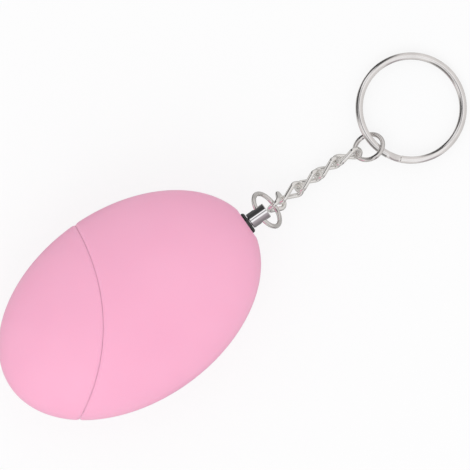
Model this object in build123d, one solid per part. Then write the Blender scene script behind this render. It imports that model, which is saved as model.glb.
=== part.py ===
from build123d import *
import math
import os

# Personal safety alarm: an egg-shaped case, a pin that is pulled out to sound it,
# a twisted curb chain and a split key ring. Millimetres, +Z up.
# X runs along the egg towards the pin, Y across it. The origin is on the table
# under the middle of the egg.

# Egg and its walls
egg_half_length = 31.0
egg_half_width = 20.9
egg_half_height = 14.4
shell_wall = 1.8
rest_land_depth = 0.4
tip_flat_depth = 0.5
parting_gap = 0.06
tongue_height = 1.0
tongue_wall = 0.8
tongue_clearance = 0.1

# Arc seam of the battery cover
seam_x = -40.2
seam_y = 22.5
seam_radius = 40.4
seam_gap = 0.06
seam_bevel_width = 0.6
seam_bevel_depth = 0.22
spigot_length = 2.4
spigot_root = 1.5
spigot_wall = 1.0
spigot_clearance = 0.12

# Case screws: places, size and seats
case_screw_places = ((24.5, -6.5), (-2.0, -16.0), (12.5, 15.6))
screw_length = 10.0
screw_radius = 1.0
screw_head_radius = 1.7
screw_head_height = 1.1
screw_recess = 0.6
screw_clearance = 0.1
boss_radius = 2.25
drive_width = 0.5
drive_depth = 0.5

# Siren disc in its seat over the sound holes
siren_x = 8.8
siren_y = -0.4
siren_disc_radius = 12.5
siren_disc_thickness = 0.3
ceramic_radius = 9.5
ceramic_thickness = 0.25
siren_drop = 6.4
siren_seat_ledge = 1.0
siren_rim_wall = 0.7
siren_rim_height = 0.5
siren_clearance = 0.1
sound_hole_radius = 0.9
sound_hole_count = 6
sound_hole_circle = 3.4
sound_hole_x = 13.6

# Circuit board on four posts
board_drop = 3.8
board_thickness = 1.0
board_wall_gap = 0.7
board_near_x = 1.0
board_contact_margin = 0.3
board_edge_margin = 1.7
board_post_radius = 1.5
board_post_lap = 0.2
board_post_spread = 45.0
board_post_back = 105.0
board_screw_radius = 0.8
board_screw_head_radius = 1.4
board_screw_head_height = 0.8
board_screw_length = 4.0
board_notch_gap = 0.4

# Pull pin and the bush it plugs into
pin_radius = 1.0
pin_running_clearance = 0.05
pin_head_radius = 1.7
pin_head_length = 4.35
pin_head_chamfer = 0.15
pin_head_gap = 0.1
pin_taper_length = 6.0
pin_nose_radius = 0.28
pin_nose_x = 16.5
pin_eye_inset = 1.8
pin_eye_clearance = 0.08
bush_flange_radius = 2.4
bush_flange_thickness = 0.75
bush_flange_round = 0.5
bush_barrel_radius = 1.8
bush_end_x = 25.0
bush_clearance = 0.08
bush_collar_radius = 2.5
bush_collar_thickness = 0.8
bush_collar_x = 27.6

# Pull switch: a leaf that the pin's taper holds off a fixed contact
leaf_thickness = 0.3
leaf_root_x = 8.6
leaf_pivot_x = 9.0
leaf_tip_x = 21.2
leaf_low = 0.5
leaf_tall = 3.4
leaf_neck_tall = 1.6
leaf_neck_share = 0.55
leaf_gap = 0.05
leaf_swing = 7.2
clip_length = 2.4
clip_wall = 0.6
clip_tall = 3.2
clip_slot_clearance = 0.1
fixed_contact_length = 1.6
fixed_contact_width = 2.2
fixed_contact_thickness = 0.4
fixed_contact_tall = 1.4

# Cells in their holder, across the cover's draw
draw_angle = 145.2
cell_radius = 5.8
cell_height = 5.4
cell_count = 3
cell_cap_radius = 5.1
cell_cap_height = 0.25
stack_x = -15.0
stack_y = 3.0
cradle_clearance = 0.1
cradle_wall = 1.0
cradle_rise = 1.2
bulkhead_wall = 1.5
bulkhead_clearance = 0.1
plate_thickness = 0.3
plate_radius = 4.8
tab_length = 1.6
spring_wire = 0.5
spring_turns = 3
spring_points = 8
spring_small_radius = 2.2
spring_large_radius = 4.2
spring_height = 2.2
tab_width = 2.0

# Parts on the board
coil_x = 4.6
coil_y = -7.6
coil_radius = 3.4
coil_height = 6.0
coil_flange = 0.8
coil_core_radius = 1.5
coil_wind_radius = 2.9
chip_x = 7.0
chip_y = 5.4
chip_length = 5.0
chip_width = 4.0
chip_height = 1.5
chip_pins = 4
chip_pin_pitch = 1.27
chip_pin_width = 0.4
chip_pin_reach = 1.0
chip_pin_thickness = 0.2
transistor_x = 12.5
transistor_y = -7.4
transistor_radius = 2.3
transistor_flat_share = 0.55
transistor_height = 4.6
transistor_leg = 0.45
transistor_leg_pitch = 1.27
transistor_stand = 1.6
resistor_length = 2.0
resistor_width = 1.25
resistor_height = 0.55
resistor_x = 14.0
resistor_y = 4.6
resistor_pitch = 2.4
resistor_count = 3

# Lead wires
lead_radius = 0.45
lead_bend = 1.2
plus_lead_run = 6.5
minus_turn_x = -11.2
minus_turn_y = -12.4
minus_pad_x = 2.6
minus_pad_y = -12.6
siren_lead_radius = 0.3
siren_lead_reach = 6.4
rim_lead_reach = 11.1
siren_lead_angle = 55.0
rim_lead_angle = 30.0

# Chain of twisted links
wire = 1.0
link_gap = 0.08
link_pitch = 4.95
link_half_width = 1.78
link_twist = 98.0
link_bend = 1.7
bend_share = 0.49
link_count = 5
link_rolls = (-45.0, -20.0, -2.0, 0.0, 0.0)
fold_height = 2.6
steepest_fall_share = 0.9
chain_floor_gap = 0.04
floor_gap = 0.02

# Jump ring through the pin, end ring and split key ring
jump_ring_radius = 4.05
jump_ring_angle = 62.0
end_ring_radius = 3.2
end_ring_tilt = 38.0
end_ring_y = -1.4
key_ring_outer_radius = 12.0
key_ring_band = 1.5
key_turn_height = 0.67
key_turn_gap = 0.06
key_crown_share = 0.27
key_ring_edge = 0.12
key_ring_reach = 0.275
key_ring_aside = 1.7
key_ring_lift = 1.7
key_step_angle = 208.0
key_step_sweep = 16.0
key_step_sections = 4

# Shared values
overrun = 40.0
weld = 0.1

# Worked out from the sizes above
centre_z = egg_half_height - rest_land_depth
tip_x = egg_half_length - tip_flat_depth
siren_seat_z = centre_z - siren_drop
board_z = centre_z - board_drop
board_top = board_z + board_thickness
board_post_reach = siren_disc_radius + siren_clearance + siren_rim_wall + board_post_radius - board_post_lap
board_far_x = max(
    leaf_tip_x + board_contact_margin,
    siren_x + board_post_reach * math.cos(math.radians(board_post_spread)) + board_edge_margin,
)
board_half_width = (
    abs(siren_y) + board_post_reach * math.sin(math.radians(board_post_back)) + board_edge_margin
)
draw = Vector(math.cos(math.radians(draw_angle)), math.sin(math.radians(draw_angle)), 0)
across = Vector(math.sin(math.radians(draw_angle)), -math.cos(math.radians(draw_angle)), 0)
stack_mid = Vector(stack_x, stack_y, centre_z)
stack_half = cell_height * cell_count / 2
bore_radius = pin_radius + pin_running_clearance
head_near_x = tip_x + bush_flange_thickness + pin_head_gap
head_far_x = head_near_x + pin_head_length
taper_x = pin_nose_x + pin_taper_length
link_length = link_pitch + wire + link_gap
hook = wire + link_gap


def save(name, shape):
    """Write one sub-part under its name."""
    export_step(shape, os.path.join("parts", name + ".step"))


def egg(inset):
    """The egg's skin moved in by inset, as one solid."""
    ball = Rot(0, 90, 0) * Sphere(1)
    semi_axes = (egg_half_length - inset, egg_half_width - inset, egg_half_height - inset)
    return Pos(0, 0, centre_z) * scale(ball, by=semi_axes)


def upright(radius, low, high, x=0, y=0):
    """A cylinder along Z between two heights."""
    return Pos(x, y, low) * Cylinder(radius, high - low, align=(Align.CENTER, Align.CENTER, Align.MIN))


def along_x(radius, near, far, y=0, z=centre_z):
    """A cylinder along X between two places."""
    rod = Cylinder(radius, far - near, align=(Align.CENTER, Align.CENTER, Align.MIN))
    return Pos(near, y, z) * Rot(0, 90, 0) * rod


def block(low, high):
    """A box between two opposite corners."""
    size = [b - a for a, b in zip(low, high)]
    return Pos(*low) * Box(*size, align=(Align.MIN, Align.MIN, Align.MIN))


def seam_disc(radius):
    """The round column whose edge is the cover's arc seam."""
    return upright(radius, -overrun, overrun, seam_x, seam_y)


def seam_ring(inner, outer):
    return seam_disc(outer) - seam_disc(inner)


def skin_height(x, y, inset):
    """How far the skin stands from the middle plane at x, y."""
    share = 1 - (x / (egg_half_length - inset)) ** 2 - (y / (egg_half_width - inset)) ** 2
    return (egg_half_height - inset) * math.sqrt(share)


def land_cut():
    """Everything below the table, which leaves the flat land on the back."""
    return block((-overrun, -overrun, -overrun), (overrun, overrun, 0))


def bevelled(shell):
    """A shell whose edge along the seam, the longest one, is bevelled into a soft groove."""
    edge = shell.edges().sort_by(SortBy.LENGTH)[-1]
    skin = shell.faces().sort_by(SortBy.AREA)[-1]
    return chamfer(edge, seam_bevel_width, seam_bevel_depth, reference=skin)


def body_hull():
    """The main body before it is split: skin, spigot for the cover and the pin's hole."""
    hull = bevelled((egg(0) - egg(shell_wall)) - seam_disc(seam_radius + seam_gap / 2))
    lip = shell_wall + spigot_clearance
    root = seam_ring(seam_radius + seam_gap / 2, seam_radius + spigot_root)
    hull += (egg(shell_wall - weld) - egg(lip + spigot_wall)) & root
    tongue = seam_ring(seam_radius - spigot_length, seam_radius + spigot_root)
    hull += (egg(lip) - egg(lip + spigot_wall)) & tongue
    hull -= land_cut()
    hull -= block((tip_x, -overrun, -overrun), (overrun + tip_x, overrun, overrun))
    hull -= along_x(bush_barrel_radius + bush_clearance, bush_end_x, tip_x + weld)
    return hull


def half_space(upper):
    """The space above or below the parting plane of the two body shells."""
    if upper:
        return block((-overrun, -overrun, centre_z + parting_gap / 2), (overrun, overrun, overrun))
    return block((-overrun, -overrun, -overrun), (overrun, overrun, centre_z - parting_gap / 2))


def tongue_strip(outer_inset, inner_inset, low, high):
    """Strip along the inside of the parting line: the tongue, or the room for it."""
    strip = egg(outer_inset) - egg(inner_inset)
    strip -= seam_disc(seam_radius + spigot_root)
    strip -= along_x(bush_flange_radius, bush_end_x, overrun)
    return strip & block((-overrun, -overrun, low), (overrun, overrun, high))


def front_shell(hull):
    shell = hull & half_space(True)
    for x, y in case_screw_places:
        post = upright(boss_radius, centre_z + parting_gap / 2, overrun, x, y)
        shell += post & egg(shell_wall / 2)
    outer_inset = shell_wall - tongue_wall
    shell += tongue_strip(outer_inset, shell_wall, centre_z - tongue_height, centre_z + weld)
    for x, y in case_screw_places:
        seat = screw_seat(x, y)
        shell -= upright(screw_radius + parting_gap / 2, 0, seat + screw_length + weld, x, y)
    return shell


def screw_seat(x, y):
    """Height of the face that a case screw's head bears on."""
    return centre_z - skin_height(x, y, 0) + screw_recess + screw_head_height


def siren_ring():
    """Round seat that holds the siren disc by its edge over the sound holes."""
    edge = siren_disc_radius + siren_clearance
    top = siren_seat_z + siren_rim_height
    ring = upright(edge + siren_rim_wall, 0, top, siren_x, siren_y)
    ring -= upright(siren_disc_radius - siren_seat_ledge, -weld, top + weld, siren_x, siren_y)
    return ring, upright(edge, siren_seat_z, board_z, siren_x, siren_y)


def board_posts():
    """Places of the four posts under the board, screws first."""
    turns = (board_post_spread, -board_post_back, -board_post_spread, board_post_back)
    return [
        (
            siren_x + board_post_reach * math.cos(math.radians(turn)),
            siren_y + board_post_reach * math.sin(math.radians(turn)),
        )
        for turn in turns
    ]


def back_shell(hull):
    shell = hull & half_space(False)
    inside = egg(shell_wall / 2) & half_space(False)
    ring, disc_room = siren_ring()
    shell += ring & inside
    for x, y in board_posts():
        shell += upright(board_post_radius, 0, board_z, x, y) & inside
    shell -= disc_room
    for x, y in board_posts()[:2]:
        shell -= upright(board_screw_radius, board_z - board_screw_length, board_z + weld, x, y)
    for x, y in board_posts()[2:]:
        shell += upright(board_screw_radius, board_z - weld, board_top, x, y)
    for x, y in case_screw_places:
        shell += upright(boss_radius, 0, centre_z - parting_gap / 2, x, y) & inside
    outer_inset = shell_wall - tongue_wall - tongue_clearance
    low = centre_z - tongue_height - tongue_clearance
    shell -= tongue_strip(outer_inset, shell_wall + tongue_clearance, low, centre_z)
    for x, y in case_screw_places:
        seat = screw_seat(x, y)
        shell -= upright(screw_radius + screw_clearance, 0, centre_z, x, y)
        shell -= upright(screw_head_radius + screw_clearance, -overrun, seat, x, y)
    places = [(sound_hole_x, siren_y)]
    for i in range(sound_hole_count):
        turn = math.radians(360 / sound_hole_count * i)
        places.append(
            (
                sound_hole_x + sound_hole_circle * math.cos(turn),
                siren_y + sound_hole_circle * math.sin(turn),
            )
        )
    for x, y in places:
        shell -= upright(sound_hole_radius, -overrun, siren_seat_z - siren_rim_height, x, y)
    return shell


def battery_cover():
    """The cup-shaped end of the egg that draws off along the chord of its seam."""
    cover = bevelled((egg(0) - egg(shell_wall)) & seam_disc(seam_radius - seam_gap / 2))
    return cover - land_cut()


def case_screws():
    screws = Part()
    for x, y in case_screw_places:
        seat = screw_seat(x, y)
        screw = upright(screw_radius, seat - weld, seat + screw_length, x, y)
        screw += upright(screw_head_radius, seat - screw_head_height, seat, x, y)
        low = seat - screw_head_height
        half = drive_width / 2
        reach = screw_head_radius - drive_width
        screw -= block((x - half, y - reach, low - weld), (x + half, y + reach, low + drive_depth))
        screw -= block((x - reach, y - half, low - weld), (x + reach, y + half, low + drive_depth))
        screws += screw
    return screws


def pin_socket():
    """Black bush that the pin plugs into, held between the shells by its flanges."""
    bush = along_x(bush_barrel_radius, bush_end_x, tip_x + weld)
    flange = along_x(bush_flange_radius, tip_x, tip_x + bush_flange_thickness)
    bush += fillet(flange.edges().sort_by(Axis.X)[-1], bush_flange_round)
    bush += along_x(bush_collar_radius, bush_collar_x, bush_collar_x + bush_collar_thickness)
    bush -= along_x(bore_radius, bush_end_x - weld, tip_x + bush_flange_thickness + weld)
    return bush


def pin_eye_x():
    return head_far_x - pin_eye_inset


def eye_radius():
    """Half the bow of the ring's wire inside the pin's head, plus the wire and its room."""
    sag = jump_ring_radius - math.sqrt(jump_ring_radius**2 - pin_head_radius**2)
    return wire / 2 + sag / 2 + pin_eye_clearance


def pull_pin():
    """Turned pin: head with a cross hole, shaft and a long taper to its nose."""
    head = along_x(pin_head_radius, head_near_x, head_far_x)
    head = chamfer(head.edges(), pin_head_chamfer)
    shaft = along_x(pin_radius, taper_x, head_near_x + weld)
    taper = Cone(pin_nose_radius, pin_radius, pin_taper_length, align=(Align.CENTER, Align.CENTER, Align.MIN))
    pin = head + shaft + Pos(pin_nose_x, 0, centre_z) * Rot(0, 90, 0) * taper
    eye = Cylinder(eye_radius(), 2 * overrun)
    pin -= Pos(pin_eye_x(), 0, centre_z) * Rot(90, 0, 0) * eye
    return pin


def leaf_face_y():
    """Where the leaf's face stands, just clear of the taper beside its tip."""
    slope = (pin_radius - pin_nose_radius) / pin_taper_length
    beside = pin_radius - slope * (taper_x - leaf_tip_x)
    return -(beside + leaf_gap)


def moving_contact():
    """Leaf that stands beside the pin, with its broad end at the pin's taper."""
    low = board_top + leaf_low
    top = low + leaf_tall
    neck = low + leaf_neck_tall
    shoulder = leaf_root_x + (leaf_tip_x - leaf_root_x) * leaf_neck_share
    rise = top - neck
    outline = Polyline(
        (leaf_root_x, low),
        (leaf_tip_x, low),
        (leaf_tip_x, top),
        (shoulder + rise, top),
        (shoulder, neck),
        (leaf_root_x, neck),
        close=True,
    )
    face = leaf_face_y()
    return Pos(0, face, 0) * Rot(90, 0, 0) * extrude(make_face(outline), leaf_thickness)


def switch_clip():
    """Brass terminal on the board whose slot holds the leaf's root."""
    face = leaf_face_y()
    half = leaf_thickness / 2 + clip_slot_clearance
    mid = face - leaf_thickness / 2
    near = leaf_pivot_x - clip_length / 2
    far = leaf_pivot_x + clip_length / 4
    side = half + clip_wall
    clip = block((near, mid - side, board_top), (far, mid + side, board_top + clip_tall))
    clip -= block((leaf_root_x - clip_slot_clearance, mid - half, board_top + leaf_low - clip_slot_clearance),
                  (far + weld, mid + half, board_top + clip_tall + weld))
    return clip


def fixed_contact():
    """Small angle beside the leaf's tip, below the pin, that the leaf closes on."""
    lever = leaf_tip_x - leaf_pivot_x
    swing = lever * math.sin(math.radians(leaf_swing))
    face = leaf_face_y() + swing + leaf_gap
    corner = (leaf_tip_x - fixed_contact_length, face, board_top)
    foot_top = board_top + fixed_contact_thickness
    foot = block(corner, (leaf_tip_x, face + fixed_contact_width, foot_top))
    wall = block(corner, (leaf_tip_x, face + fixed_contact_thickness, board_top + fixed_contact_tall))
    return foot + wall


def circuit_board():
    """Board with its edge inside the egg, a cut corner by the holder and boss notches."""
    dz = centre_z - board_z
    shrink = math.sqrt(1 - (dz / (egg_half_height - shell_wall)) ** 2)
    half_x = (egg_half_length - shell_wall) * shrink - board_wall_gap
    half_y = (egg_half_width - shell_wall) * shrink - board_wall_gap
    outline = Ellipse(half_x, half_y) & Pos((board_near_x + board_far_x) / 2, 0) * Rectangle(
        board_far_x - board_near_x, 2 * board_half_width
    )
    board = Pos(0, 0, board_z) * extrude(outline, board_thickness)
    board &= behind(bulkhead_reach() - board_notch_gap)
    for x, y in case_screw_places:
        board -= upright(boss_radius + board_notch_gap, board_z - weld, board_top + weld, x, y)
    for x, y in board_posts():
        hole = board_screw_radius + screw_clearance
        board -= upright(hole, board_z - weld, board_top + weld, x, y)
    return board


def board_screws():
    screws = Part()
    for x, y in board_posts()[:2]:
        shaft = board_screw_radius - parting_gap / 2
        screw = upright(shaft, board_top - board_screw_length, board_top + weld, x, y)
        screw += upright(board_screw_head_radius, board_top, board_top + board_screw_head_height, x, y)
        screws += screw
    return screws


def siren_disc():
    top = siren_seat_z + siren_disc_thickness
    return upright(siren_disc_radius, siren_seat_z, top, siren_x, siren_y)


def siren_ceramic():
    low = siren_seat_z + siren_disc_thickness
    return upright(ceramic_radius, low, low + ceramic_thickness, siren_x, siren_y)


def in_stack(shape, offset):
    """Turn a shape built along Z so that it lies along the cell stack, offset from its middle."""
    place = Plane(origin=stack_mid + across * offset, x_dir=(0, 0, 1), z_dir=across)
    return place * shape


def cell(index):
    """One button cell: can and cap."""
    can = Cylinder(cell_radius, cell_height - cell_cap_height, align=(Align.CENTER, Align.CENTER, Align.MIN))
    cap = Cylinder(cell_cap_radius, cell_cap_height, align=(Align.CENTER, Align.CENTER, Align.MAX))
    shape = Pos(0, 0, cell_cap_height) * (can + cap)
    return in_stack(shape, -stack_half + cell_height * index)


def bulkhead_reach():
    """Distance along the draw at which the holder's bulkhead begins."""
    return stack_mid.dot(draw) - cell_radius - cradle_clearance - bulkhead_wall


def behind(reach):
    """The space on the pin's side of a plane square to the draw."""
    size = 2 * overrun
    wall = Box(size, size, size, align=(Align.CENTER, Align.CENTER, Align.MAX))
    return Plane(origin=draw * reach, z_dir=draw) * wall


def spring_room():
    """Length along the stack that the end spring and its plate take."""
    return spring_height + plate_thickness


def tab(low, high):
    """Solder tab of a contact plate, out through the bulkhead towards the board."""
    half = tab_width / 2
    reach = stack_mid.dot(draw) - bulkhead_reach() + tab_length
    return block((-half, 0, low), (half, reach, high))


def tab_slots():
    """Slots in the bulkhead for the two solder tabs."""
    room = bulkhead_clearance
    half = tab_width / 2 + room
    reach = stack_mid.dot(draw) - bulkhead_reach() + tab_length
    slots = Part()
    for low in (-stack_half - spring_room(), stack_half):
        slots += in_stack(block((-half, 0, low - room), (half, reach, low + plate_thickness + room)), 0)
    return slots


def battery_holder():
    """Bulkhead seated inside the spigot, with a half-round cradle and two end walls."""
    inner = cell_radius + cradle_clearance
    outer = inner + cradle_wall
    low_end = -stack_half - spring_room() - cradle_wall
    high_end = stack_half + plate_thickness + cradle_wall
    tray = upright(outer, low_end, high_end) - upright(inner, low_end + cradle_wall, high_end - cradle_wall)
    holder = in_stack(tray, 0)
    holder &= block((-overrun, -overrun, -overrun), (overrun, overrun, centre_z + cradle_rise))
    plate = behind(bulkhead_reach() + bulkhead_wall) - behind(bulkhead_reach())
    plate &= egg(shell_wall + spigot_clearance + spigot_wall + bulkhead_clearance)
    return holder + plate - tab_slots()


def contact_plate():
    """Round contact plate with its solder tab, lying on the middle of the stack."""
    plate = Cylinder(plate_radius, plate_thickness, align=(Align.CENTER, Align.CENTER, Align.MIN))
    return plate + tab(0, plate_thickness)


def plus_plate():
    return in_stack(contact_plate(), stack_half)


def spring_path():
    """Centre line of the cone spring: a spiral that climbs at a steady rate."""
    rows = []
    steps = spring_turns * spring_points
    for i in range(steps + 1):
        share = i / steps
        radius = spring_large_radius + (spring_small_radius - spring_large_radius) * share
        turn = 2 * math.pi * spring_turns * share
        height = plate_thickness + spring_wire / 2 - weld + (spring_height - spring_wire + weld) * share
        rows.append((radius * math.cos(turn), radius * math.sin(turn), height))
    return Spline(*rows)


def minus_spring():
    path = spring_path()
    section = Plane(origin=path @ 0, z_dir=path % 0) * Circle(spring_wire / 2)
    coil = sweep(section, path=path)
    return in_stack(coil + contact_plate(), -stack_half - spring_room())


def coil_core():
    top = board_top + coil_height
    core = upright(coil_core_radius, board_top, top, coil_x, coil_y)
    core += upright(coil_radius, board_top, board_top + coil_flange, coil_x, coil_y)
    core += upright(coil_radius, top - coil_flange, top, coil_x, coil_y)
    return core


def coil_winding():
    low = board_top + coil_flange
    high = board_top + coil_height - coil_flange
    turns = upright(coil_wind_radius, low, high, coil_x, coil_y)
    return turns - upright(coil_core_radius, low - weld, high + weld, coil_x, coil_y)


def control_chip():
    """Small chip with gull-wing pins on both long sides."""
    stand = chip_pin_thickness / 2
    half_l, half_w = chip_length / 2, chip_width / 2
    body = block((chip_x - half_l, chip_y - half_w, board_top + stand),
                 (chip_x + half_l, chip_y + half_w, board_top + stand + chip_height))
    for i in range(chip_pins):
        x = chip_x + (i - (chip_pins - 1) / 2) * chip_pin_pitch
        half = chip_pin_width / 2
        for side in (-1, 1):
            inner = chip_y + side * (half_w - weld)
            outer = chip_y + side * (half_w + chip_pin_reach)
            low_y, high_y = min(inner, outer), max(inner, outer)
            body += block((x - half, low_y, board_top), (x + half, high_y, board_top + chip_pin_thickness))
    return body


def transistor():
    """Round-backed transistor standing on three legs."""
    low = board_top + transistor_stand
    body = upright(transistor_radius, low, low + transistor_height, transistor_x, transistor_y)
    face = transistor_y - transistor_radius * transistor_flat_share
    reach = transistor_x - transistor_radius - weld
    body -= block((reach, face - overrun, low - weld),
                  (transistor_x + transistor_radius + weld, face, low + transistor_height + weld))
    half = transistor_leg / 2
    for i in (-1, 0, 1):
        x = transistor_x + i * transistor_leg_pitch
        body += block((x - half, transistor_y - half, board_top), (x + half, transistor_y + half, low + weld))
    return body


def resistors():
    group = Part()
    for i in range(resistor_count):
        x = resistor_x + i * resistor_pitch
        low = (x - resistor_width / 2, resistor_y - resistor_length / 2, board_top)
        high = (x + resistor_width / 2, resistor_y + resistor_length / 2, board_top + resistor_height)
        group += block(low, high)
    return group


def bend_radii(corners, largest):
    """Radius of the arc at each corner of a closed line, as large as its runs allow."""
    radii = []
    for i in range(len(corners)):
        before = corners[i] - corners[i - 1]
        after = corners[(i + 1) % len(corners)] - corners[i]
        half_turn = math.radians(before.get_angle(after)) / 2
        run = min(before.length, after.length)
        radii.append(min(largest, run * bend_share / math.tan(half_turn)))
    return radii


def wire_on(path, radius):
    """Round wire along each line and arc of a path, joined into one solid."""
    solid = Part()
    for edge in path.edges():
        section = Plane(origin=edge @ 0, z_dir=edge % 0) * Circle(radius)
        solid += sweep(section, path=edge)
    return solid


def tab_end(low):
    """Middle of the end face of the solder tab whose plate starts at low along the stack."""
    reach = stack_mid.dot(draw) - bulkhead_reach() + tab_length
    return stack_mid + across * (low + plate_thickness / 2) - draw * reach


def battery_leads():
    """Two insulated wires from the solder tabs down on to the board."""
    plus = tab_end(stack_half)
    over = plus - draw * plus_lead_run
    pad = Vector(over.X, over.Y, board_top)
    leads = wire_on(FilletPolyline(plus, over, pad, radius=lead_bend), lead_radius)
    minus = tab_end(-stack_half - spring_room())
    turn = Vector(minus_turn_x, minus_turn_y, centre_z)
    over = Vector(minus_pad_x, minus_pad_y, centre_z)
    pad = Vector(minus_pad_x, minus_pad_y, board_top)
    return leads + wire_on(FilletPolyline(minus, turn, over, pad, radius=lead_bend), lead_radius)


def siren_leads():
    """Two short stiff wires that rise to the board, from the ceramic and from the disc's rim."""
    top = siren_seat_z + siren_disc_thickness
    leads = Part()
    for low, reach, angle in (
        (top + ceramic_thickness, siren_lead_reach, siren_lead_angle),
        (top, rim_lead_reach, rim_lead_angle),
    ):
        x = siren_x + reach * math.cos(math.radians(angle))
        y = siren_y + reach * math.sin(math.radians(angle))
        leads += upright(siren_lead_radius, low, board_z, x, y)
    return leads


def link_corners():
    """Corners of one link's centre line: two four-sided bows, turned about X along its length."""
    stretch = link_half_width / math.cos(math.pi / 8)
    offset = link_length / 2 - link_half_width
    corners = []
    for i in range(8):
        turn = math.pi / 8 + math.pi / 4 * i
        x = stretch * math.cos(turn)
        x += offset if x > 0 else -offset
        side = stretch * math.sin(turn)
        lean = math.radians(link_twist) * x / link_length
        corners.append(Vector(x, side * math.sin(lean), side * math.cos(lean)))
    return corners


def link_solid():
    """One twisted link, centred on the origin with its length along X."""
    corners = link_corners()
    path = FilletPolyline(*corners, radius=bend_radii(corners, link_bend), close=True)
    return wire_on(path, wire / 2)


def link_rest_height():
    """Height of a lying link's middle over the table."""
    corner = link_corners()[1]
    return abs(corner.Z) + wire / 2 + chain_floor_gap


def ring_hang():
    """Direction in which the jump ring hangs from the pin."""
    hang = math.radians(jump_ring_angle)
    return Vector(math.cos(hang), 0, -math.sin(hang))


def ring_top():
    """Centre of the jump ring's wire in the middle of the pin's eye."""
    bow = eye_radius() - wire / 2 - pin_eye_clearance
    return Vector(pin_eye_x(), 0, centre_z) - ring_hang() * bow


def straight_bows():
    """Centres of the wires that hook one another, from the jump ring to the last link but one."""
    points = [ring_top() + ring_hang() * (2 * jump_ring_radius)]
    for rest in [fold_height] + [link_rest_height()] * (link_count - 2):
        last = points[-1]
        height = max(rest, last.Z - link_pitch * steepest_fall_share)
        run = math.sqrt(link_pitch**2 - (last.Z - height) ** 2)
        points.append(Vector(last.X + run, 0, height))
    return points


def chain_bows():
    """The same with the far bow of the last link, which lies past the end ring's wire."""
    points = straight_bows()
    caught = end_hook()
    points.append(caught + (caught - points[-1]).normalized() * hook)
    return points


def end_ring_height():
    return wire / 2 + floor_gap + end_ring_radius * math.sin(math.radians(end_ring_tilt))


def end_ring_turn():
    """Angle round the end ring of the point that the last link hooks."""
    drop = end_ring_height() - link_rest_height() - floor_gap
    return math.pi - math.asin(drop / (end_ring_radius * math.sin(math.radians(end_ring_tilt))))


def end_hook():
    """Centre of the end ring's wire where the last link hooks it."""
    tilt = math.radians(end_ring_tilt)
    turn = end_ring_turn()
    start = straight_bows()[-1]
    y = end_ring_y + end_ring_radius * math.sin(turn) * math.cos(tilt)
    z = end_ring_height() - end_ring_radius * math.sin(turn) * math.sin(tilt)
    run = math.sqrt((link_pitch - hook) ** 2 - (y - start.Y) ** 2 - (z - start.Z) ** 2)
    return Vector(start.X + run, y, z)


def end_ring_centre():
    x = end_hook().X - end_ring_radius * math.cos(end_ring_turn())
    return Vector(x, end_ring_y, end_ring_height())


def link_frame(start, end, roll):
    """Plane that carries a link from its hooked end to its far bow, rolled about its length."""
    length = (end - start).normalized()
    side = Vector(0, 0, 1).cross(length).normalized()
    up = length.cross(side)
    turn = math.radians(roll)
    rolled = up * math.cos(turn) - side * math.sin(turn)
    middle = start + length * (link_length / 2 - hook)
    return Plane(origin=middle, x_dir=length, z_dir=rolled)


def jump_ring():
    hang = ring_hang()
    centre = ring_top() + hang * jump_ring_radius
    frame = Plane(origin=centre, x_dir=hang, z_dir=hang.cross(Vector(0, 1, 0)))
    return frame * Torus(jump_ring_radius, wire / 2)


def end_ring():
    tilt = math.radians(end_ring_tilt)
    normal = Vector(0, math.sin(tilt), math.cos(tilt))
    return Plane(origin=end_ring_centre(), x_dir=(1, 0, 0), z_dir=normal) * Torus(end_ring_radius, wire / 2)


def key_ring_frame():
    """Plane of the split ring: its near edge lies on the end ring, its far edge on the table."""
    slope = math.asin(key_ring_lift / (2 * key_ring_outer_radius))
    normal = Vector(math.sin(slope), 0, math.cos(slope))
    lying = Vector(math.cos(slope), 0, -math.sin(slope))
    near = end_ring_centre()
    x = near.X + key_ring_outer_radius + key_ring_reach
    height = (key_ring_outer_radius - key_ring_band / 2) * math.sin(slope) + floor_gap
    return Plane(origin=(x, near.Y + key_ring_aside, height), x_dir=lying, z_dir=normal)


def key_section(turn, low):
    """Section of the ring's flattened wire at an angle: crowned on both faces, with round edges."""
    half = key_ring_band / 2
    crown = key_turn_height * key_crown_share
    flank = key_turn_height - crown
    outline = ThreePointArc((-half, crown), (0, 0), (half, crown))
    outline += Line((half, crown), (half, flank))
    outline += ThreePointArc((half, flank), (0, key_turn_height), (-half, flank))
    outline += Line((-half, flank), (-half, crown))
    face = make_face(outline)
    face = fillet(face.vertices(), key_ring_edge)
    out = Vector(math.cos(turn), math.sin(turn), 0)
    origin = out * (key_ring_outer_radius - half) + Vector(0, 0, low)
    return Plane(origin=origin, x_dir=out, z_dir=out.cross(Vector(0, 0, 1))) * face


def key_ring():
    """Split ring: two turns of flattened wire one over the other, joined by a step where they part."""
    rise = key_turn_height + key_turn_gap
    first = math.radians(key_step_angle)
    last = math.radians(key_step_angle + key_step_sweep)
    turns = Part()
    for low in (0, rise):
        turns += revolve(key_section(last, low), axis=Axis.Z, revolution_arc=360 - key_step_sweep)
    sections = []
    for i in range(key_step_sections + 1):
        share = i / key_step_sections
        smooth = share * share * (3 - 2 * share)
        sections.append(key_section(first + (last - first) * share, rise * (1 - smooth)))
    return key_ring_frame() * (turns + loft(sections))


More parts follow.
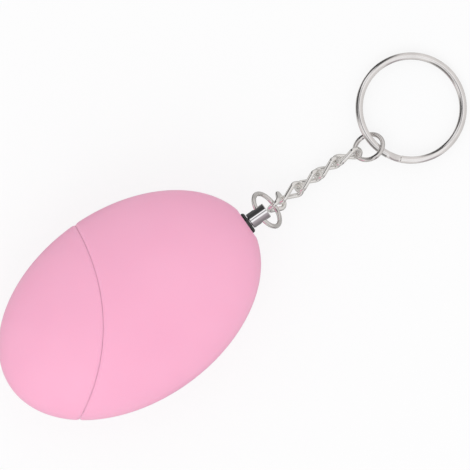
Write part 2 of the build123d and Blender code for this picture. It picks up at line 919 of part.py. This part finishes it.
def main():
    os.makedirs("parts", exist_ok=True)
    hull = body_hull()
    save("front_shell", front_shell(hull))
    save("back_shell", back_shell(hull))
    save("battery_cover", battery_cover())
    save("case_screws", case_screws())
    save("pin_socket", pin_socket())
    save("pull_pin", pull_pin())
    save("moving_contact", moving_contact())
    save("switch_clip", switch_clip())
    save("fixed_contact", fixed_contact())
    save("circuit_board", circuit_board())
    save("board_screws", board_screws())
    save("siren_disc", siren_disc())
    save("siren_ceramic", siren_ceramic())
    save("battery_holder", battery_holder())
    for i in range(cell_count):
        save(f"cell_{i + 1}", cell(i))
    save("plus_plate", plus_plate())
    save("minus_spring", minus_spring())
    save("battery_leads", battery_leads())
    save("siren_leads", siren_leads())
    save("coil_core", coil_core())
    save("coil_winding", coil_winding())
    save("control_chip", control_chip())
    save("transistor", transistor())
    save("resistors", resistors())
    save("jump_ring", jump_ring())
    link = link_solid()
    points = chain_bows()
    for i in range(link_count):
        save(f"link_{i + 1}", link_frame(points[i], points[i + 1], link_rolls[i]) * link)
    save("end_ring", end_ring())
    save("key_ring", key_ring())


main()
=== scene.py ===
import math

import bpy
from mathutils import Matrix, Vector


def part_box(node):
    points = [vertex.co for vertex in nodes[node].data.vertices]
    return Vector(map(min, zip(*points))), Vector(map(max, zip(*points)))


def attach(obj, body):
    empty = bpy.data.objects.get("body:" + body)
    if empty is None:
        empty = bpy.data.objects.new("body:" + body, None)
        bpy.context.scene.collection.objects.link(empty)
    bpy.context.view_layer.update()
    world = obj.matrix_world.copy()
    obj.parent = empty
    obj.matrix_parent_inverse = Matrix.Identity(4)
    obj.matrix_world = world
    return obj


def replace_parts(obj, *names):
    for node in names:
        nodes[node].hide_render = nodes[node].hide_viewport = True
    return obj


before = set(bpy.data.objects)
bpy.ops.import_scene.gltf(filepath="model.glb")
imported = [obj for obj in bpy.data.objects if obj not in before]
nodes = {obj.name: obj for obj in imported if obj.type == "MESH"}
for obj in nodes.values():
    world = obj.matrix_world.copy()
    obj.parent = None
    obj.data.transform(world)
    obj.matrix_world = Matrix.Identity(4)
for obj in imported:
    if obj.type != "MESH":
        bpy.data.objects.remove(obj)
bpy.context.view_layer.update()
MM = 0.001
MICRON = 0.000001
UP = Vector((0, 0, 1))

# Camera: straight down on the face, with the pin's axis rising to the right
VIEW_TURN = math.radians(34.78)
VIEW_CENTRE = Vector((27.06, -0.52, 8.0)) * MM
VIEW_WIDTH = 101.0 * MM
LENS = 600.0
SENSOR = 36.0
FAR_CLIP = 20.0
IMAGE_UP = Vector((math.sin(VIEW_TURN), math.cos(VIEW_TURN), 0))
IMAGE_RIGHT = Vector((math.cos(VIEW_TURN), -math.sin(VIEW_TURN), 0))

camera_data = bpy.data.cameras.new("camera")
camera_data.lens = LENS
camera_data.sensor_width = SENSOR
camera_data.clip_end = FAR_CLIP
camera = bpy.data.objects.new("camera", camera_data)
camera.location = VIEW_CENTRE + UP * (VIEW_WIDTH * LENS / SENSOR)
camera.rotation_euler = (0, 0, -VIEW_TURN)
bpy.context.scene.collection.objects.link(camera)
bpy.context.scene.camera = camera


class Graph:
    """Short way to add and join shader nodes. A source is a node and the name or number of its output."""

    def __init__(self, tree):
        self.tree = tree
        tree.nodes.clear()

    def add(self, kind, values=None, **settings):
        """Node of a kind, with its settings and the values of its sockets."""
        node = self.tree.nodes.new(kind)
        for name, value in settings.items():
            setattr(node, name, value)
        for socket, value in (values or {}).items():
            node.inputs[socket].default_value = value
        return node

    def join(self, source, node, socket):
        """Join a source to a node's socket."""
        self.tree.links.new(source[0].outputs[source[1]], node.inputs[socket])

    def math(self, operation, *values):
        """Math node. Each value is a number or a source."""
        node = self.add("ShaderNodeMath", operation=operation)
        for i, value in enumerate(values):
            if isinstance(value, tuple):
                self.join(value, node, i)
            else:
                node.inputs[i].default_value = value
        return (node, 0)

    def mixed_shader(self, share, first, second):
        """Shader that goes from the first to the second as the share rises from 0 to 1."""
        node = self.add("ShaderNodeMixShader")
        for i, source in enumerate((share, first, second)):
            self.join(source, node, i)
        return (node, 0)

    def noise(self, scale, detail, rough, stretch):
        """Noise over the part's own coordinates, at so many features a metre."""
        place = self.add("ShaderNodeTexCoord")
        mapping = self.add("ShaderNodeMapping", {"Scale": stretch})
        node = self.add("ShaderNodeTexNoise", {"Scale": scale, "Detail": detail, "Roughness": rough})
        self.join((place, "Object"), mapping, "Vector")
        self.join((mapping, "Vector"), node, "Vector")
        return (node, "Fac")

    def spread(self, source, low, high):
        """Stretch the middle of a noise over low to high."""
        node = self.add("ShaderNodeMapRange", {"From Min": NOISE_LOW, "From Max": NOISE_HIGH})
        node.inputs["To Min"].default_value = low
        node.inputs["To Max"].default_value = high
        self.join(source, node, "Value")
        return (node, "Result")


# Looks that all the materials share. Each noise has its detail and its roughness
PATCH_NOISE = (2.0, 0.5)
GLOSS_NOISE = (4.0, 0.6)
GRAIN_NOISE = (2.0, 0.6)
NOISE_LOW = 0.3
NOISE_HIGH = 0.7
GLOSS_FINER = 5
BUMP_STRENGTH = 0.6
COAT_ROUGHNESS = 0.25
SUBSURFACE_SCALE = 1.5 * MM
SUBSURFACE_RADIUS = (1.0, 0.55, 0.6)


def linear(red, green, blue):
    """Screen colour, 0 to 255, as the linear colour that shaders take."""
    out = []
    for value in (red, green, blue):
        c = value / 255
        out.append(c / 12.92 if c <= 0.04045 else ((c + 0.055) / 1.055) ** 2.4)
    return tuple(out)


def surface(name, colour, dark, rough, grain, grain_depth=10, patch=90.0, stretch=(1, 1, 1), metallic=0.0,
            coat=0.0, subsurface=0.0, specular=0.5):
    """A material with patches of slightly varied colour and gloss over a fine grain, its depth in microns."""
    material = bpy.data.materials.new(name)
    material.use_nodes = True
    g = Graph(material.node_tree)
    out = g.add("ShaderNodeOutputMaterial")
    shader = g.add("ShaderNodeBsdfPrincipled", {"Metallic": metallic, "Specular IOR Level": specular})
    shader.inputs["Coat Weight"].default_value = coat
    shader.inputs["Coat Roughness"].default_value = COAT_ROUGHNESS
    if subsurface:
        shader.inputs["Subsurface Weight"].default_value = subsurface
        shader.inputs["Subsurface Scale"].default_value = SUBSURFACE_SCALE
        shader.inputs["Subsurface Radius"].default_value = SUBSURFACE_RADIUS
    patches = g.noise(patch, *PATCH_NOISE, stretch)
    mix = g.add("ShaderNodeMix", {"A": (*dark, 1), "B": (*colour, 1)}, data_type="RGBA")
    g.join(g.spread(patches, 0.0, 1.0), mix, "Factor")
    g.join((mix, "Result"), shader, "Base Color")
    gloss = g.noise(patch * GLOSS_FINER, *GLOSS_NOISE, stretch)
    g.join(g.spread(gloss, *rough), shader, "Roughness")
    fine = g.noise(grain, *GRAIN_NOISE, stretch)
    bump = g.add("ShaderNodeBump", {"Strength": BUMP_STRENGTH, "Distance": grain_depth * MICRON})
    g.join(fine, bump, "Height")
    g.join((bump, "Normal"), shader, "Normal")
    g.join((shader, "BSDF"), out, "Surface")
    return material


def moulded(name, colour, dark, rough, **more):
    """A material that isn't metal, by its screen colours."""
    return surface(name, linear(*colour), linear(*dark), rough, **more)


def metal(name, colour, dark, rough, **more):
    """A metal, by the share of light that it throws back."""
    return surface(name, colour, dark, rough, metallic=1.0, **more)


PINK = moulded("pink_shell", (247, 178, 206), (244, 173, 202), (0.36, 0.44), grain=2600.0,
               grain_depth=6, patch=45.0, subsurface=0.12, specular=0.4)
BLACK = moulded("black_moulding", (30, 29, 31), (22, 22, 24), (0.38, 0.52), grain=3200.0)
GLOSSY_BLACK = moulded("black_bush", (30, 28, 31), (24, 22, 25), (0.16, 0.26), grain=3200.0,
                       grain_depth=3, specular=0.7)
CHROME = metal("pin_chrome", (0.94, 0.93, 0.94), (0.89, 0.88, 0.89), (0.03, 0.07), grain=6000.0,
               grain_depth=1, patch=240.0, stretch=(0.2, 1, 1))
NICKEL = metal("ring_nickel", (0.86, 0.84, 0.83), (0.76, 0.74, 0.73), (0.07, 0.15), grain=5200.0,
               grain_depth=1, patch=300.0)
LINK_NICKEL = metal("link_nickel", (0.97, 0.96, 0.94), (0.90, 0.89, 0.87), (0.04, 0.10), grain=4200.0,
                    grain_depth=2, patch=420.0)
STEEL = metal("zinc_steel", (0.62, 0.63, 0.65), (0.52, 0.53, 0.55), (0.24, 0.38), grain=3600.0,
              grain_depth=3, patch=400.0)
CELL_STEEL = metal("cell_steel", (0.70, 0.71, 0.72), (0.62, 0.63, 0.64), (0.20, 0.30), grain=3000.0,
                   grain_depth=2, patch=200.0)
BRASS = metal("contact_brass", (0.85, 0.62, 0.27), (0.74, 0.50, 0.20), (0.22, 0.36), grain=3400.0,
              grain_depth=3, patch=260.0)
COPPER = metal("enamelled_copper", (0.80, 0.34, 0.14), (0.66, 0.26, 0.10), (0.18, 0.28), grain=3600.0,
               grain_depth=2, patch=500.0)
SOLDER = metal("solder", (0.72, 0.72, 0.73), (0.60, 0.60, 0.61), (0.16, 0.28), grain=2600.0,
               grain_depth=4, patch=600.0)
CERAMIC = moulded("silvered_ceramic", (226, 222, 210), (208, 204, 192), (0.30, 0.42), grain=2400.0)
BOARD = moulded("solder_resist", (38, 110, 62), (28, 92, 50), (0.22, 0.34), grain=1800.0, patch=500.0,
                coat=0.3)
INSULATION = moulded("wire_insulation", (176, 34, 30), (158, 26, 24), (0.36, 0.46), grain=2600.0)
FERRITE = moulded("ferrite", (62, 60, 62), (46, 45, 47), (0.50, 0.66), grain=2200.0, grain_depth=30)

WEARERS = (
    (PINK, ("front_shell", "back_shell", "battery_cover")),
    (GLOSSY_BLACK, ("pin_socket",)),
    (BLACK, ("battery_holder", "control_chip", "transistor", "resistors")),
    (CHROME, ("pull_pin",)),
    (NICKEL, ("jump_ring", "end_ring", "key_ring")),
    (LINK_NICKEL, ("link_1", "link_2", "link_3", "link_4", "link_5")),
    (STEEL, ("case_screws", "board_screws", "plus_plate", "minus_spring")),
    (CELL_STEEL, ("cell_1", "cell_2", "cell_3")),
    (BRASS, ("switch_clip", "moving_contact", "fixed_contact", "siren_disc", "siren_leads")),
    (CERAMIC, ("siren_ceramic",)),
    (BOARD, ("circuit_board",)),
    (INSULATION, ("battery_leads",)),
    (FERRITE, ("coil_core",)),
    (COPPER, ("coil_winding",)),
)


def dress(name, material):
    """Give every material slot of a CAD node one material."""
    materials = nodes[name].data.materials
    if not materials:
        materials.append(material)
    for i in range(len(materials)):
        materials[i] = material


for worn, wearers in WEARERS:
    for wearer in wearers:
        dress(wearer, worn)

# The coil's wire, in one layer over the layers under it
WIRE_RADIUS = 0.12 * MM
WIRE_PITCH = 2.06 * WIRE_RADIUS
WIRE_SUNK = 0.4 * WIRE_RADIUS
WINDING_INSET = 0.02 * MM
COIL_CORE_RADIUS = 1.5 * MM
COIL_SIDES = 48
TURN_POINTS = 28
TUBE_POINTS = 8

# Solder: the cone's radius and height pairs in mm, the joints on the board's top in mm, and those made on its
# back, which show a smaller cone on top
SOLDER_CONE = ((1.05, 0.0), (0.95, 0.12), (0.78, 0.30), (0.66, 0.55), (0.58, 0.80), (0.50, 0.92))
SOLDER_SIDES = 32
TOP_JOINTS = ((2.4362, 0.9284), (2.6, -12.6))
BACK_JOINTS = ((12.4709, 4.8426), (18.4129, 5.15))
BACK_CONE_SCALE = (0.75, 0.75)
THROUGH_CONE_SCALE = (0.55, 0.5)

# The cells' sealing rings: radius and height pairs in mm, along the row of cells
GASKET = ((5.08, 0.26), (5.08, 0.10), (5.14, 0.06), (5.36, 0.06), (5.46, 0.14), (5.50, 0.26))
GASKET_SIDES = 64
CELL_AXIS = Vector((0.570714, 0.821149, 0))
CELLS_MIDDLE = Vector((-15.0, 3.0, 14.0)) * MM
CELL_FACES = (-8.1, -2.7, 2.7)


def mesh_piece(name, points, faces, material):
    """A smooth mesh object that rides on the case."""
    data = bpy.data.meshes.new(name)
    data.from_pydata([tuple(p) for p in points], [], faces)
    data.polygons.foreach_set("use_smooth", [True] * len(data.polygons))
    data.materials.append(material)
    data.update()
    piece = bpy.data.objects.new(name, data)
    bpy.context.scene.collection.objects.link(piece)
    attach(piece, "case")
    return piece


def ring(first, count, k):
    """Numbers of two neighbouring points on a ring of points."""
    return first + k, first + (k + 1) % count


def lathe(profile, centre, axis, sides, points, faces):
    """Turn a profile of radius and height pairs about an axis, added to points and faces."""
    axis = axis.normalized()
    side = axis.orthogonal().normalized()
    other = axis.cross(side)
    first = len(points)
    for radius, height in profile:
        for k in range(sides):
            turn = 2 * math.pi * k / sides
            out = side * math.cos(turn) + other * math.sin(turn)
            points.append(centre + axis * height + out * radius)
    last = first + (len(profile) - 1) * sides
    for row in range(first, last, sides):
        for k in range(sides):
            a, b = ring(row, sides, k)
            faces.append((a, b, b + sides, a + sides))
    faces.append(tuple(reversed(range(first, first + sides))))
    faces.append(tuple(range(last, last + sides)))


def scaled(profile, across=1.0, along=1.0):
    """A profile in mm, stretched and in metres."""
    return [(radius * across * MM, height * along * MM) for radius, height in profile]


def wound_wire():
    """The winding: a plain tube with one layer of fine wire wound round and up it."""
    low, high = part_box("coil_winding")
    centre = Vector(((low.x + high.x) / 2, (low.y + high.y) / 2, 0))
    reach = (high.x - low.x) / 2 - WIRE_RADIUS
    bottom = low.z + WINDING_INSET
    top = high.z - WINDING_INSET
    tube = reach - WIRE_SUNK
    points, faces = [], []
    profile = ((COIL_CORE_RADIUS, bottom), (tube, bottom), (tube, top), (COIL_CORE_RADIUS, top))
    lathe(profile, centre, UP, COIL_SIDES, points, faces)
    climb = top - bottom - 2 * WIRE_RADIUS
    turns = int(climb / WIRE_PITCH)
    first = len(points)
    steps = turns * TURN_POINTS
    for k in range(steps + 1):
        turn = 2 * math.pi * k / TURN_POINTS
        out = Vector((math.cos(turn), math.sin(turn), 0))
        height = bottom + WIRE_RADIUS + climb * k / steps
        for j in range(TUBE_POINTS):
            angle = 2 * math.pi * j / TUBE_POINTS
            round_wire = (out * math.cos(angle) + UP * math.sin(angle)) * WIRE_RADIUS
            points.append(centre + out * reach + UP * height + round_wire)
    last = first + steps * TUBE_POINTS
    for row in range(first, last, TUBE_POINTS):
        for j in range(TUBE_POINTS):
            a, b = ring(row, TUBE_POINTS, j)
            faces.append((a, a + TUBE_POINTS, b + TUBE_POINTS, b))
    faces.append(tuple(range(first, first + TUBE_POINTS)))
    faces.append(tuple(reversed(range(last, last + TUBE_POINTS))))
    return mesh_piece("wound_wire", points, faces, COPPER)


def solder_joints():
    """A small cone of solder where each lead meets the board."""
    board_low, board_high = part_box("circuit_board")
    points, faces = [], []
    for x, y in TOP_JOINTS:
        spot = Vector((x * MM, y * MM, board_high.z))
        lathe(scaled(SOLDER_CONE), spot, UP, SOLDER_SIDES, points, faces)
    for x, y in BACK_JOINTS:
        spot = Vector((x * MM, y * MM, board_low.z))
        lathe(scaled(SOLDER_CONE, *BACK_CONE_SCALE), spot, -UP, SOLDER_SIDES, points, faces)
        spot.z = board_high.z
        lathe(scaled(SOLDER_CONE, *THROUGH_CONE_SCALE), spot, UP, SOLDER_SIDES, points, faces)
    mesh_piece("solder_joints", points, faces, SOLDER)


def cell_gaskets():
    """The dark sealing ring round each cell's cap."""
    points, faces = [], []
    for along in CELL_FACES:
        spot = CELLS_MIDDLE + CELL_AXIS * along * MM
        lathe(scaled(GASKET), spot, CELL_AXIS, GASKET_SIDES, points, faces)
    mesh_piece("cell_gaskets", points, faces, BLACK)


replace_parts(wound_wire(), "coil_winding")
solder_joints()
cell_gaskets()

WHITE = (1, 1, 1, 1)
FLOOR_COLOUR = (0.86, 0.86, 0.87, 1)
FLOOR_HALF = 3.0
FLOOR_DROP = 0.05 * MM
FLOOR_SEEN_WHITE = 0.82

# The photograph's metal shows a studio's walls, so metal sees the white backdrop and floor by this share only
BACKDROP_IN_METAL = 0.04


def floor():
    """A pale floor, seen as white, that keeps the object's soft shadow."""
    corners = [(x * FLOOR_HALF, y * FLOOR_HALF, 0) for x, y in ((-1, -1), (1, -1), (1, 1), (-1, 1))]
    data = bpy.data.meshes.new("floor")
    data.from_pydata(corners, [], [(0, 1, 2, 3)])
    piece = bpy.data.objects.new("floor", data)
    piece.location = UP * -FLOOR_DROP
    bpy.context.scene.collection.objects.link(piece)
    material = bpy.data.materials.new("floor")
    material.use_nodes = True
    data.materials.append(material)
    g = Graph(material.node_tree)
    out = g.add("ShaderNodeOutputMaterial")
    pale = g.add("ShaderNodeBsdfDiffuse", {"Color": FLOOR_COLOUR})
    white = g.add("ShaderNodeEmission", {"Color": WHITE, "Strength": 1.0})
    clear = g.add("ShaderNodeBsdfTransparent")
    path = g.add("ShaderNodeLightPath")
    seen = g.math("MAXIMUM", (path, "Is Camera Ray"), (path, "Is Transmission Ray"))
    seen = g.math("MAXIMUM", seen, (path, "Is Glossy Ray"))
    share = g.math("MULTIPLY", seen, FLOOR_SEEN_WHITE)
    shown = g.mixed_shader(share, (pale, 0), (white, 0))
    through = g.math("MULTIPLY", (path, "Is Glossy Ray"), 1 - BACKDROP_IN_METAL)
    g.join(g.mixed_shader(through, shown, (clear, 0)), out, "Surface")
    return piece


floor()

EVEN_LIGHT = 0.92
EVEN_COLOUR = (1, 0.995, 1, 1)

# What the pin's sides face, by the angle from overhead towards the pin's left: a black wall to the upper left
# of the photograph and a purple-grey one to the lower right
ALONG_PIN = (
    (-178, (0.08, 0.07, 0.08)), (-150, (0.12, 0.11, 0.12)), (-118, (0.15, 0.13, 0.14)),
    (-88, (0.22, 0.19, 0.20)), (-60, (0.34, 0.30, 0.32)), (-33, (0.44, 0.39, 0.41)),
    (-27, (0.98, 0.97, 0.99)), (-6, (1.0, 1.0, 1.0)), (0, (0.34, 0.33, 0.34)), (9, (0.24, 0.23, 0.24)),
    (14, (1.0, 1.0, 1.0)), (27, (1.0, 0.99, 1.0)), (33, (0.03, 0.03, 0.03)), (60, (0.01, 0.01, 0.01)),
    (120, (0.01, 0.01, 0.01)), (178, (0.01, 0.01, 0.01)),
)

# What all else faces, by the angle from overhead: pale walls, and in two places walls with a dark strip
PALE = (
    (0, (1.0, 1.0, 1.0)), (14, (1.0, 0.99, 0.99)), (25, (0.80, 0.78, 0.77)), (60, (0.70, 0.68, 0.67)),
    (84, (0.72, 0.70, 0.69)), (104, (0.46, 0.45, 0.44)), (178, (0.50, 0.49, 0.48)),
)
STRIPED = (
    (0, (1.0, 1.0, 1.0)), (12, (1.0, 0.99, 0.99)), (19, (0.04, 0.04, 0.04)), (44, (0.04, 0.04, 0.04)),
    (54, (0.68, 0.66, 0.65)), (84, (0.72, 0.70, 0.69)), (104, (0.46, 0.45, 0.44)), (178, (0.50, 0.49, 0.48)),
)

# The striped places: the direction in the photograph in degrees, the cosines between which the strip fades
# in, and its strength
UPPER_LEFT = (138, 0.60, 0.80, 1.0)
LOWER_LEFT = (234, 0.86, 0.96, 0.8)

# The pin's walls give way to the others as the ray leans along the pin by this much
LEAN_ALONG_PIN = (0.07, 0.15)
LEAST_LEVEL = 0.001


class Sky:
    """The world's nodes: even light, a white backdrop, and for metal a studio with banded walls."""

    def __init__(self, tree):
        self.g = Graph(tree)
        place = self.g.add("ShaderNodeTexCoord")
        split = self.g.add("ShaderNodeSeparateXYZ")
        self.ray = (place, "Generated")
        self.g.join(self.ray, split, 0)
        self.x, self.y, self.z = ((split, axis) for axis in "XYZ")
        squares = [self.g.math("MULTIPLY", side, side) for side in (self.x, self.y)]
        level = self.g.math("SQRT", self.g.math("ADD", *squares))
        self.level = self.g.math("MAXIMUM", level, LEAST_LEVEL)

    def banded(self, sideways, bands):
        """Colour by the angle from overhead towards one side: pairs of degrees and colour."""
        turn = self.g.math("ARCTAN2", sideways, self.z)
        spot = self.g.math("MULTIPLY_ADD", turn, 1 / (2 * math.pi), 0.5)
        ramp = self.g.add("ShaderNodeValToRGB")
        self.g.join(spot, ramp, 0)
        elements = ramp.color_ramp.elements
        while len(elements) > 1:
            elements.remove(elements[-1])
        elements[0].position = 0
        elements[0].color = (*bands[0][1], 1)
        for degrees, colour in bands:
            element = elements.new(degrees / 360 + 0.5)
            element.color = (*colour, 1)
        return (ramp, "Color")

    def smooth(self, value, low, high):
        """Rise from 0 to 1 as the value goes from low to high."""
        limits = {"From Min": low, "From Max": high}
        node = self.g.add("ShaderNodeMapRange", limits, interpolation_type="SMOOTHSTEP")
        self.g.join(value, node, "Value")
        return (node, "Result")

    def toward(self, degrees, low, high, strength):
        """1 where the ray's level direction is near one in the photograph's plane, and 0 elsewhere."""
        turn = math.radians(degrees)
        node = self.g.add("ShaderNodeVectorMath", operation="DOT_PRODUCT")
        self.g.join(self.ray, node, 0)
        node.inputs[1].default_value = IMAGE_UP * math.sin(turn) + IMAGE_RIGHT * math.cos(turn)
        cosine = self.g.math("DIVIDE", (node, "Value"), self.level)
        return self.g.math("MULTIPLY", self.smooth(cosine, low, high), strength)

    def mixed(self, share, first, second):
        """Colour that goes from the first to the second as the share rises from 0 to 1."""
        node = self.g.add("ShaderNodeMix", data_type="RGBA")
        self.g.join(share, node, "Factor")
        self.g.join(first, node, "A")
        self.g.join(second, node, "B")
        return (node, "Result")

    def background(self, colour, strength):
        """Plain light from all round."""
        node = self.g.add("ShaderNodeBackground", {"Color": colour, "Strength": strength})
        return (node, 0)

    def walls(self):
        """What metal sees."""
        dark = self.g.math("MAXIMUM", self.toward(*UPPER_LEFT), self.toward(*LOWER_LEFT))
        around = self.mixed(dark, self.banded(self.level, PALE), self.banded(self.level, STRIPED))
        along_pin = self.smooth(self.g.math("ABSOLUTE", self.x), *LEAN_ALONG_PIN)
        colour = self.mixed(along_pin, self.banded(self.y, ALONG_PIN), around)
        studio = self.background(WHITE, 1.0)
        self.g.join(colour, studio[0], "Color")
        return studio

    def build(self):
        """Join the even light, the metal's studio and the backdrop, by the kind of ray."""
        g = self.g
        path = g.add("ShaderNodeLightPath")
        glossy = (path, "Is Glossy Ray")
        lit = g.mixed_shader(glossy, self.background(EVEN_COLOUR, EVEN_LIGHT), self.walls())
        seen = g.math("MAXIMUM", (path, "Is Camera Ray"), (path, "Is Transmission Ray"))
        seen = g.math("MAXIMUM", seen, g.math("MULTIPLY", glossy, BACKDROP_IN_METAL))
        shown = g.mixed_shader(seen, lit, self.background(WHITE, 1.0))
        g.join(shown, g.add("ShaderNodeOutputWorld"), "Surface")


world = bpy.data.worlds.new("studio")
world.use_nodes = True
bpy.context.scene.world = world
Sky(world.node_tree).build()

# One square soft lamp, in metres and watts, from the photograph's lower side
LAMP_RIGHT = -0.10
LAMP_UP = -0.50
LAMP_HEIGHT = 0.60
LAMP_SIZE = 0.55
LAMP_WATTS = 1.35
LAMP_AIM = Vector((20.0, 0.0, 10.0)) * MM

lamp_data = bpy.data.lights.new("key_light", "AREA")
lamp_data.size = LAMP_SIZE
lamp_data.energy = LAMP_WATTS
lamp = bpy.data.objects.new("key_light", lamp_data)
above_aim = Vector((LAMP_AIM.x, LAMP_AIM.y, LAMP_HEIGHT))
lamp.location = IMAGE_RIGHT * LAMP_RIGHT + IMAGE_UP * LAMP_UP + above_aim
lamp.rotation_euler = (LAMP_AIM - lamp.location).to_track_quat("-Z", "Y").to_euler()
lamp.visible_glossy = False
bpy.context.scene.collection.objects.link(lamp)

bpy.context.scene.view_settings.view_transform = "Standard"
